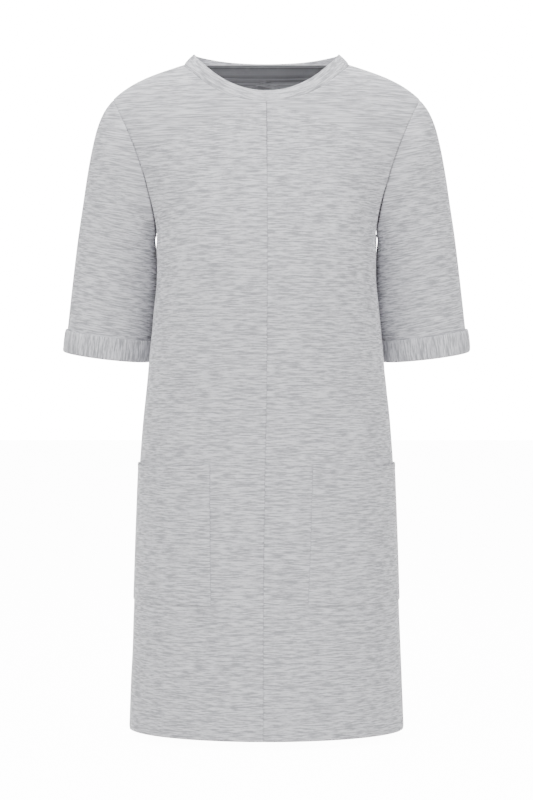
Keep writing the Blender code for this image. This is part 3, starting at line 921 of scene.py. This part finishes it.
@dataclass
class Sleeves:
    """The two sleeves and their turned-up cuffs."""

    form: DressForm
    material: bpy.types.Material
    cuff_material: bpy.types.Material
    turns: np.ndarray = field(
        default_factory=lambda: np.linspace(0, 360, RING_POINTS, endpoint=False)
    )

    def rings(self, side: Side, shares: Sequence[float]) -> np.ndarray:
        """Rings of a sleeve.

        Args:
            side: the sleeve's side.
            shares: where the rings are.

        Returns:
            Their points, rows by columns by 3.
        """
        return np.array([self.form.sleeve_ring(side, s, self.turns) for s in shares])

    def outward(self, points: np.ndarray) -> np.ndarray:
        """Normals of rings that face away from the sleeve's middle.

        Args:
            points: rows by columns by 3.

        Returns:
            The normals.
        """
        normals = grid_normals(points, True)
        away = (points - points.mean(1, keepdims=True)) * normals
        return normals if away.sum() > 0 else -normals

    def build(self) -> None:
        """Builds both sleeves and cuffs."""
        for side in Side:
            self.build_sleeve(side)
            self.build_cuff(side)

    def build_sleeve(self, side: Side) -> None:
        """Builds a sleeve, with a soft valley beside the armhole and shallow waves.

        Args:
            side: the sleeve's side.
        """
        shares = fine_edges(SLEEVE_RING_STEPS, SLEEVE_LENGTH)
        points = self.rings(side, shares)
        normals = self.outward(points)
        down = lengths(points, 0)
        turn = np.radians(self.turns)[None, :]
        front = np.clip(np.sin(turn), 0, 1) ** 1.5
        back = np.clip(-np.sin(turn), 0, 1) ** 1.5
        depth = groove(down)
        valley = np.exp(-(((down - VALLEY_DOWN) / VALLEY_WIDTH) ** 2))
        low = np.exp(-(((np.degrees(turn) - VALLEY_TURN) / VALLEY_SPREAD) ** 2))
        depth += valley * (FRONT_VALLEY * front * low + BACK_VALLEY * back)
        wave = np.sin(down * WAVE_PACE + 2.2 * np.cos(turn) + 1.3 * side.value)
        depth += WAVE_DEPTH * wave * np.clip(1 - down / WAVE_REACH, 0, 1) * (front + back)
        points = points - depth[..., None] * normals
        # The jersey's rows run square to the sleeve's own length
        length = np.array(SLEEVE_LINE) * (side.value, 1, 1)
        around = np.cumsum(np.full(len(self.turns), 2 * math.pi * SLEEVE_RADIUS / len(self.turns)))
        uv = np.stack([np.broadcast_to(around, down.shape) + SLEEVE_ROLL + side.value, points @ length], -1)
        piece = ClothPiece(
            f"sleeve_{side.word}_cloth", f"sleeve_{side.word}", flat=(0.50, 0.34), area=0.088
        )
        self.make_tube(piece, points, uv, self.material)

    def make_tube(
        self,
        piece: ClothPiece,
        points: np.ndarray,
        uv: np.ndarray,
        material: bpy.types.Material,
    ) -> None:
        """Makes a closed ring of cloth with its outer face outwards.

        Args:
            piece: what it is.
            points: rows by columns by 3.
            uv: each point's place on the flat cut.
            material: its jersey.
        """
        normals = grid_normals(points, True)
        away = (points - points.mean(1, keepdims=True)) * normals
        if away.sum() < 0:
            points, uv = points[::-1], uv[::-1]
        piece.make(points, uv, material, closed=True)

    def build_cuff(self, side: Side) -> None:
        """Builds a cuff: a folded band turned up outside the sleeve, round its end.

        Args:
            side: the cuff's side.
        """
        shares = np.linspace(CUFF_SHARE, 1, CUFF_RINGS)
        rings = self.rings(side, shares)
        normals = self.outward(rings)
        down = rings[-1] - rings[-2]
        down /= np.linalg.norm(down, axis=1)[:, None]
        reach = LAYER_GAP + FOLDED_BAND
        fold = FOLDED_BAND / 2
        uneven = CUFF_UNEVEN * np.sin(np.radians(3 * self.turns) + side.value)[:, None]
        rows = []
        # Over the top edge, from the sleeve outwards
        for angle in np.radians(TOP_FOLD_TURNS):
            out = LAYER_GAP + fold + fold * math.cos(angle)
            rise = fold * math.sin(angle) - fold
            rows.append(rings[0] + (out + uneven) * normals[0] - rise * down)
        for share, ring, normal in zip(np.linspace(0, 1, len(rings)), rings, normals):
            swell = CUFF_SWELL * math.sin(math.pi * share)
            if 0 < share < 1:
                rows.append(ring + (reach + swell + uneven) * normal)
        # Under the bottom fold and a little way up inside
        radius = (reach + CLOTH + 2 * LAYER_GAP) / 2
        for angle in np.radians(BOTTOM_FOLD_TURNS):
            out = reach - radius + radius * math.cos(angle)
            rows.append(rings[-1] + out * normals[-1] + BOTTOM_FOLD_DROP * math.sin(angle) * down)
        inside = reach - 2 * radius
        for ring, normal in zip(rings[-2:-6:-1], normals[-2:-6:-1]):
            rows.append(ring + inside * normal)
        points = np.array(rows)
        along = lengths(points, 0)
        around = np.cumsum(np.full(len(self.turns), 2 * math.pi * CUFF_RADIUS / len(self.turns)))
        uv = np.stack([np.broadcast_to(around, along.shape) + CUFF_ROLL + side.value, along], -1)
        piece = ClothPiece(
            f"cuff_{side.word}_cloth",
            f"cuff_{side.word}",
            flat=(0.33, 0.055),
            grain=Grain.UPRIGHT,
            thickness=FOLDED_SKIN,
        )
        self.make_tube(piece, points, uv, self.cuff_material)


@dataclass
class Neck:
    """The folded neckband and the tape inside the back neck."""

    form: DressForm
    material: bpy.types.Material
    # A darker copy of the jersey's marl, painted shade for the inside of the back neck
    tape_material: bpy.types.Material

    def band_face(self, seam: np.ndarray, step: float) -> np.ndarray:
        """The band's outer face at a height.

        Args:
            seam: the neck seam.
            step: 0 at the seam and 1 at the fold.

        Returns:
            The points all the way round.
        """
        middle = np.array([0.0, (seam[:, 1].min() + seam[:, 1].max()) / 2, 0.0])
        out = (seam - middle) * (1, 1, 0)
        turn = np.degrees(np.arctan2(np.abs(out[:, 0]), -out[:, 1]))
        inward = np.array([smooth(BAND_LEAN, "turn", "inward", t) for t in turn])
        up = np.array([smooth(BAND_LEAN, "turn", "up", t) for t in turn])
        out /= np.linalg.norm(out, axis=1)[:, None]
        rise = np.outer(step * up, (0, 0, 1))
        return seam - step * inward[:, None] * out + rise

    def build(self) -> None:
        """Builds the band and the tape."""
        seam = self.form.neck_seam()
        steps = np.concatenate([[0, 0.05, 0.11, 0.2], np.linspace(0.3, 0.93, 8)])
        face = np.array([self.band_face(seam, step) for step in steps])
        normals = grid_normals(face, True)
        middle = face.mean(axis=(0, 1), keepdims=True)
        if ((face - middle) * (1, 1, 0) * normals).sum() < 0:
            normals = -normals
        up = face[-1] - face[-2]
        up /= np.linalg.norm(up, axis=1)[:, None]
        height = lengths(face, 0)
        swell = BAND_SWELL * np.sin(math.pi * height / BAND_HEIGHT)
        roll = groove(height, BAND_SEAM_DEPTH, BAND_SEAM_WIDTH) - swell
        outer = face - roll[..., None] * normals
        rows = list(outer)
        fold = FOLDED_BAND / 2
        for angle in np.radians(BAND_FOLD_TURNS):
            out = fold * math.cos(angle) - fold
            rows.append(face[-1] + out * normals[-1] + BAND_FOLD_RISE * math.sin(angle) * up)
        rows += list((face - FOLDED_BAND * normals)[::-1])
        points = np.array(rows)
        across_band = lengths(points, 0)
        around = lengths(points[:1], 1)
        uv = np.stack([np.broadcast_to(around, across_band.shape) + BAND_ROLL, across_band], -1)
        flat = grid_normals(points[: len(steps)], True)
        if ((points[: len(steps)] - middle) * (1, 1, 0) * flat).sum() < 0:
            points, uv = points[::-1], uv[::-1]
        band = ClothPiece("neckband_cloth", "neckband", flat=(0.60, 0.041), thickness=FOLDED_SKIN)
        band.make(points, uv, self.material, closed=True)
        self.build_tape(face, normals)

    def build_tape(self, face: np.ndarray, normals: np.ndarray) -> None:
        """Builds the tape over the back neck seam.

        Args:
            face: the band's outer face.
            normals: its normals.
        """
        last = int(np.argmin(np.abs(lengths(face, 0)[:, RING_POINTS // 2] - TAPE_WIDTH)))
        columns = slice(RING_POINTS // 4 + 1, 3 * RING_POINTS // 4)
        depth = FOLDED_BAND + LAYER_GAP
        inner = face[: last + 1, columns] - depth * normals[: last + 1, columns]
        up = lengths(inner, 0)
        edge = np.minimum(up, up[-1:] - up)
        swell = TAPE_SWELL * (1 - np.exp(-((edge / TAPE_EDGE) ** 2)))
        points = inner - (TAPE_GAP + swell)[..., None] * normals[: last + 1, columns]
        uv = np.stack([lengths(points, 1) + TAPE_ROLL, up], -1)
        facing = grid_normals(points, False)
        if (facing * normals[: last + 1, columns]).sum() > 0:
            points, uv = points[:, ::-1], uv[:, ::-1]
        # The cut is 8 mm wide, inside the narrowest rectangle that a sheet can state
        tape = ClothPiece(
            "back_neck_tape_cloth",
            "back_neck_tape",
            flat=(0.235, 0.010),
            area=0.235 * TAPE_WIDTH,
            thickness=TAPE_SKIN,
        )
        tape.make(points, uv, self.tape_material)


@dataclass
class Pockets:
    """The two patch pockets, set into the side seams."""

    form: DressForm
    material: bpy.types.Material
    gape: float = 0.0016

    def build(self) -> None:
        """Builds both pockets."""
        for side in Side:
            self.build_pocket(side)

    def build_pocket(self, side: Side) -> None:
        """Builds one pocket, sewn down at its edges and a little open at its mouth.

        Args:
            side: the pocket's side.
        """
        edge = POCKET_EDGES[side]
        length = POCKET_TOP - POCKET_BOTTOM
        heights = POCKET_BOTTOM + fine_edges(POCKET_ROWS, length) * length
        across_pocket = fine_edges(POCKET_COLUMNS, POCKET_WIDTH)
        rows = []
        for z in heights:
            start = self.form.centre_turn(side, z, True)
            end = 1 - smooth(DRIFTS, "z", f"{side.word}_lead", z) / 90
            share = edge.bottom + (edge.top - edge.bottom) * (z - POCKET_BOTTOM) / length
            turns = start + (share + across_pocket * (1 - share)) * (end - start)
            rows.append([self.form.body_point(t, z) for t in turns])
        panel = np.array(rows)
        panel[:, :, 0] *= side.value
        normals = grid_normals(panel, False)
        if ((panel - POCKET_CENTRE) * normals).sum() < 0:
            normals = -normals
        along = lengths(panel, 1)
        up = lengths(panel, 0)
        to_top = up[-1:] - up
        rise = up / up[-1:]
        open_share = along / along[:, -1:]
        lift = LAYER_GAP + CLOTH + self.gape * rise**3 * np.sin(math.pi * open_share) ** 0.5
        # Its inner and bottom edges are turned in and sewn down, close to the edge
        pressed = groove(along, POCKET_PRESS, POCKET_EDGE) + groove(up, POCKET_PRESS, POCKET_EDGE)
        lift -= pressed
        lift -= groove(along[:, -1:] - along, POCKET_SIDE_DEPTH, POCKET_SIDE_WIDTH)
        lift += MOUTH_SWELL * np.exp(-(((to_top - MOUTH_TURNING) / MOUTH_TURNING) ** 2))
        points = panel + lift[..., None] * normals
        # The mouth's edge dips in the middle
        dip = MOUTH_DIP * np.sin(math.pi * open_share**0.8) * rise**8
        points[..., 2] -= dip
        level = points.copy()
        level[:, :, 2] = 0
        uv = np.stack([lengths(level, 1) + POCKET_ROLL + 2 * side.value, points[:, :, 2]], -1)
        width = 0.19 if side is Side.LEFT else 0.18
        piece = ClothPiece(
            f"pocket_{side.word}_cloth", f"pocket_{side.word}", flat=(width, 0.18), thickness=POCKET_CLOTH
        )
        piece.make(*turn_outwards(points, uv, POCKET_CENTRE), self.material)


@dataclass
class Studio:
    """The floor, the light and the camera."""

    floor_z: float = HEM_Z - 0.010
    distance: float = 3.0
    eye_z: float = -0.440
    seen_height: float = 1.048
    backdrop_y: float = 22.0
    backdrop_size: float = 11.0
    backdrop_glow: float = 16.0
    floor_glow: float = 13.0

    def build(self) -> None:
        """Builds the studio."""
        self.build_floor()
        self.build_backdrop()
        self.build_light()
        self.build_camera()

    def build_floor(self) -> None:
        """Lays a pale floor."""
        bpy.ops.object.select_all(action="DESELECT")
        bpy.ops.mesh.primitive_plane_add(size=60, location=(0, 0, self.floor_z))
        floor = bpy.context.active_object
        floor.name = "studio_floor"
        material = bpy.data.materials.new("studio_floor")
        material.use_nodes = True
        shader = material.node_tree.nodes["Principled BSDF"]
        socket_values(shader, {"Base Color": (0.97, 0.97, 0.97, 1), "Roughness": 1.0,
                               "Specular IOR Level": 0.0})
        socket_values(shader, {"Emission Color": (1, 1, 1, 1), "Emission Strength": self.floor_glow})
        floor.data.materials.append(material)
        floor.visible_diffuse = False

    def build_backdrop(self) -> None:
        """Stands a white lit backdrop far behind, so that little of its light comes round."""
        bpy.ops.object.select_all(action="DESELECT")
        bpy.ops.mesh.primitive_plane_add(
            size=self.backdrop_size,
            location=(0, self.backdrop_y, self.floor_z + self.backdrop_size / 2),
            rotation=(math.radians(90), 0, 0),
        )
        backdrop = bpy.context.active_object
        backdrop.name = "studio_backdrop"
        material = bpy.data.materials.new("studio_backdrop")
        material.use_nodes = True
        socket_values(material.node_tree.nodes["Principled BSDF"], {
            "Base Color": (1, 1, 1, 1),
            "Roughness": 1.0,
            "Emission Color": (1, 1, 1, 1),
            "Emission Strength": self.backdrop_glow,
        })
        backdrop.data.materials.append(material)
        backdrop.visible_diffuse = False

    def build_light(self) -> None:
        """Lights it softly from all round, and a little more from above in front."""
        world = bpy.data.worlds.new("studio")
        bpy.context.scene.world = world
        world.use_nodes = True
        socket_values(world.node_tree.nodes["Background"], {"Color": (1, 1, 1, 1), "Strength": 0.78})
        for name, place, size, power in LAMPS:
            light = bpy.data.lights.new(name, "AREA")
            light.size = size
            light.energy = power
            lamp = bpy.data.objects.new(name, light)
            bpy.context.scene.collection.objects.link(lamp)
            lamp.location = place
            aim = np.array(LAMPS_AIM) - np.array(place)
            yaw = math.atan2(aim[1], aim[0]) - math.pi / 2
            pitch = math.atan2(math.hypot(aim[0], aim[1]), -aim[2])
            lamp.rotation_euler = (pitch, 0, yaw)

    def build_camera(self) -> None:
        """Sets the camera in front, level with the middle of the dress."""
        camera = bpy.data.cameras.new("camera")
        camera.sensor_width = 36
        camera.lens = camera.sensor_width * self.distance / self.seen_height
        camera.clip_end = 100
        rig = bpy.data.objects.new("camera", camera)
        bpy.context.scene.collection.objects.link(rig)
        rig.location = (0.0, -self.distance, self.eye_z)
        rig.rotation_euler = (math.radians(90), 0, 0)
        bpy.context.scene.camera = rig


def main() -> None:
    """Builds the dress and its studio."""
    form = DressForm()
    marl = marl_group()
    jersey = JerseyFinish("pale_grey_marl").make(marl)
    # The tape gets a darker copy of the jersey's marl: painted shade for the inside of the back neck
    inner = JerseyFinish("neck_tape_marl", (0.62, 0.62, 0.64, 1), (0.34, 0.34, 0.36, 1)).make(marl)
    Body(form, jersey).build()
    Sleeves(form, jersey, jersey).build()
    Neck(form, jersey, inner).build()
    Pockets(form, jersey).build()
    Studio().build()


if __name__ == "__main__":
    main()
